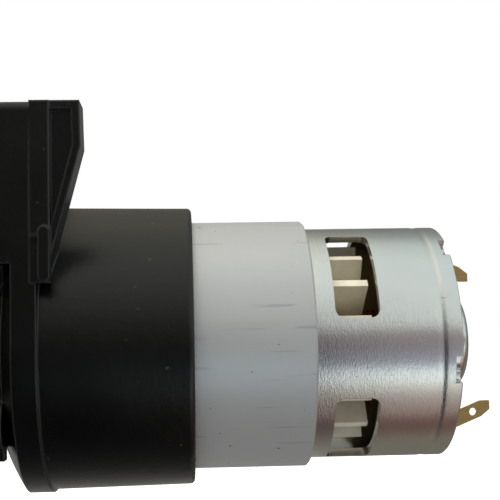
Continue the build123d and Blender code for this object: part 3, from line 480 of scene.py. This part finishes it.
def lightRamp(tree, angle, stops):
    colors = tree.nodes.new("ShaderNodeValToRGB")
    elements = colors.color_ramp.elements
    while len(elements) < len(stops):
        elements.new(0.5)
    for element, (degrees, color) in zip(elements, stops):
        element.position = (degrees + 180) / 360
        element.color = (*color, 1)
    tree.links.new(angle, colors.inputs["Fac"])
    return colors.outputs["Color"]


def choose(tree, factor, first, second):
    node = tree.nodes.new("ShaderNodeMix")
    node.data_type = "RGBA"
    for socket, value in ((node.inputs[0], factor), (node.inputs[6], first), (node.inputs[7], second)):
        if hasattr(value, "links"):
            tree.links.new(value, socket)
        else:
            socket.default_value = (*value, 1)
    return node.outputs[2]


def makeSurround(settings):
    world = bpy.data.worlds.new("softStudio")
    bpy.context.scene.world = world
    world.use_nodes = True
    tree = world.node_tree
    place = tree.nodes.new("ShaderNodeTexCoord")
    split = tree.nodes.new("ShaderNodeSeparateXYZ")
    tree.links.new(place.outputs["Generated"], split.inputs["Vector"])
    front = tree.nodes.new("ShaderNodeMath")
    front.operation = "MULTIPLY"
    front.inputs[1].default_value = -1.0
    tree.links.new(split.outputs["Y"], front.inputs[0])
    angle = tree.nodes.new("ShaderNodeMath")
    angle.operation = "ARCTAN2"
    tree.links.new(split.outputs["Z"], angle.inputs[0])
    tree.links.new(front.outputs[0], angle.inputs[1])
    share = tree.nodes.new("ShaderNodeMapRange")
    share.inputs["From Min"].default_value = -math.pi
    share.inputs["From Max"].default_value = math.pi
    tree.links.new(angle.outputs[0], share.inputs["Value"])
    side = tree.nodes.new("ShaderNodeMapRange")
    side.interpolation_type = "SMOOTHSTEP"
    side.inputs["From Min"].default_value, side.inputs["From Max"].default_value = settings["change"]
    tree.links.new(split.outputs["X"], side.inputs["Value"])
    mirrored = choose(
        tree,
        side.outputs[0],
        lightRamp(tree, share.outputs[0], settings["nearCollar"]),
        lightRamp(tree, share.outputs[0], settings["nearCan"]),
    )
    seen = tree.nodes.new("ShaderNodeLightPath")
    lit = choose(tree, seen.outputs["Is Diffuse Ray"], mirrored, settings["softLight"])
    shown = choose(tree, seen.outputs["Is Camera Ray"], lit, (1.0, 1.0, 1.0))
    tree.links.new(shown, tree.nodes["Background"].inputs["Color"])


def makeFloor(settings):
    half = settings["floorSize"] * mm / 2
    low = cadLow.z - settings["floorDrop"] * mm
    mesh = bpy.data.meshes.new("floor")
    corners = [(-half, -half, low), (half, -half, low), (half, half, low), (-half, half, low)]
    mesh.from_pydata(corners, [], [(0, 1, 2, 3)])
    floor = bpy.data.objects.new("floor", mesh)
    bpy.context.scene.collection.objects.link(floor)
    paper = newMaterial("palePaper", (0.8, 0.8, 0.8), 0.9)
    shader = shaderOf(paper)
    shader.inputs["Emission Color"].default_value = (1, 1, 1, 1)
    shader.inputs["Emission Strength"].default_value = 0.55
    mesh.materials.append(paper)
    floor.visible_glossy = False
    floor.visible_diffuse = False
    return floor


view = {
    "place": (55.6, -180.4, 4.46),  # mm, x in the frame, y and z from the motor's axis
    "turn": -2.49,  # degrees about the vertical
    "rise": 3.82,
    "roll": -1.01,
    "lens": 69.8,
    "shift": (0.059, 0.0098),
}


def makeCamera(settings):
    data = bpy.data.cameras.new("camera")
    data.lens = settings["lens"]
    data.sensor_width = 36
    data.clip_start = 0.01
    data.shift_x, data.shift_y = settings["shift"]
    camera = bpy.data.objects.new("camera", data)
    bpy.context.scene.collection.objects.link(camera)
    x, y, z = settings["place"]
    aim = Matrix.Rotation(math.radians(settings["turn"]), 4, "Z")
    aim = aim @ Matrix.Rotation(math.radians(90 + settings["rise"]), 4, "X")
    aim = aim @ Matrix.Rotation(math.radians(settings["roll"]), 4, "Z")
    camera.matrix_world = Matrix.Translation(Vector((x, y, z + motorZ)) * mm) @ aim
    bpy.context.scene.camera = camera


def makeLamp(name, place, target, size, power, color=(1, 1, 1)):
    data = bpy.data.lights.new(name, "AREA")
    data.shape = "RECTANGLE"
    data.size, data.size_y = size[0] * mm, size[1] * mm
    data.energy = power
    data.color = color
    lamp = bpy.data.objects.new(name, data)
    bpy.context.scene.collection.objects.link(lamp)
    lamp.location = Vector(place) * mm
    lamp.rotation_mode = "QUATERNION"
    lamp.rotation_quaternion = (Vector(target) - Vector(place)).to_track_quat("-Z", "Y")
    lamp.visible_glossy = False


makeSurround(studio)
makeFloor(studio)
makeCamera(view)
makeLamp("keyLight", (40, -120, 460), (60, 0, motorZ), (320, 220), 2.2, (1.0, 0.97, 0.9))
makeLamp("lowFill", (60, -420, -200), (60, 0, motorZ), (260, 200), 2.4, (0.7, 0.87, 1.0))
bpy.context.scene.view_settings.view_transform = "Standard"
print("studio set")
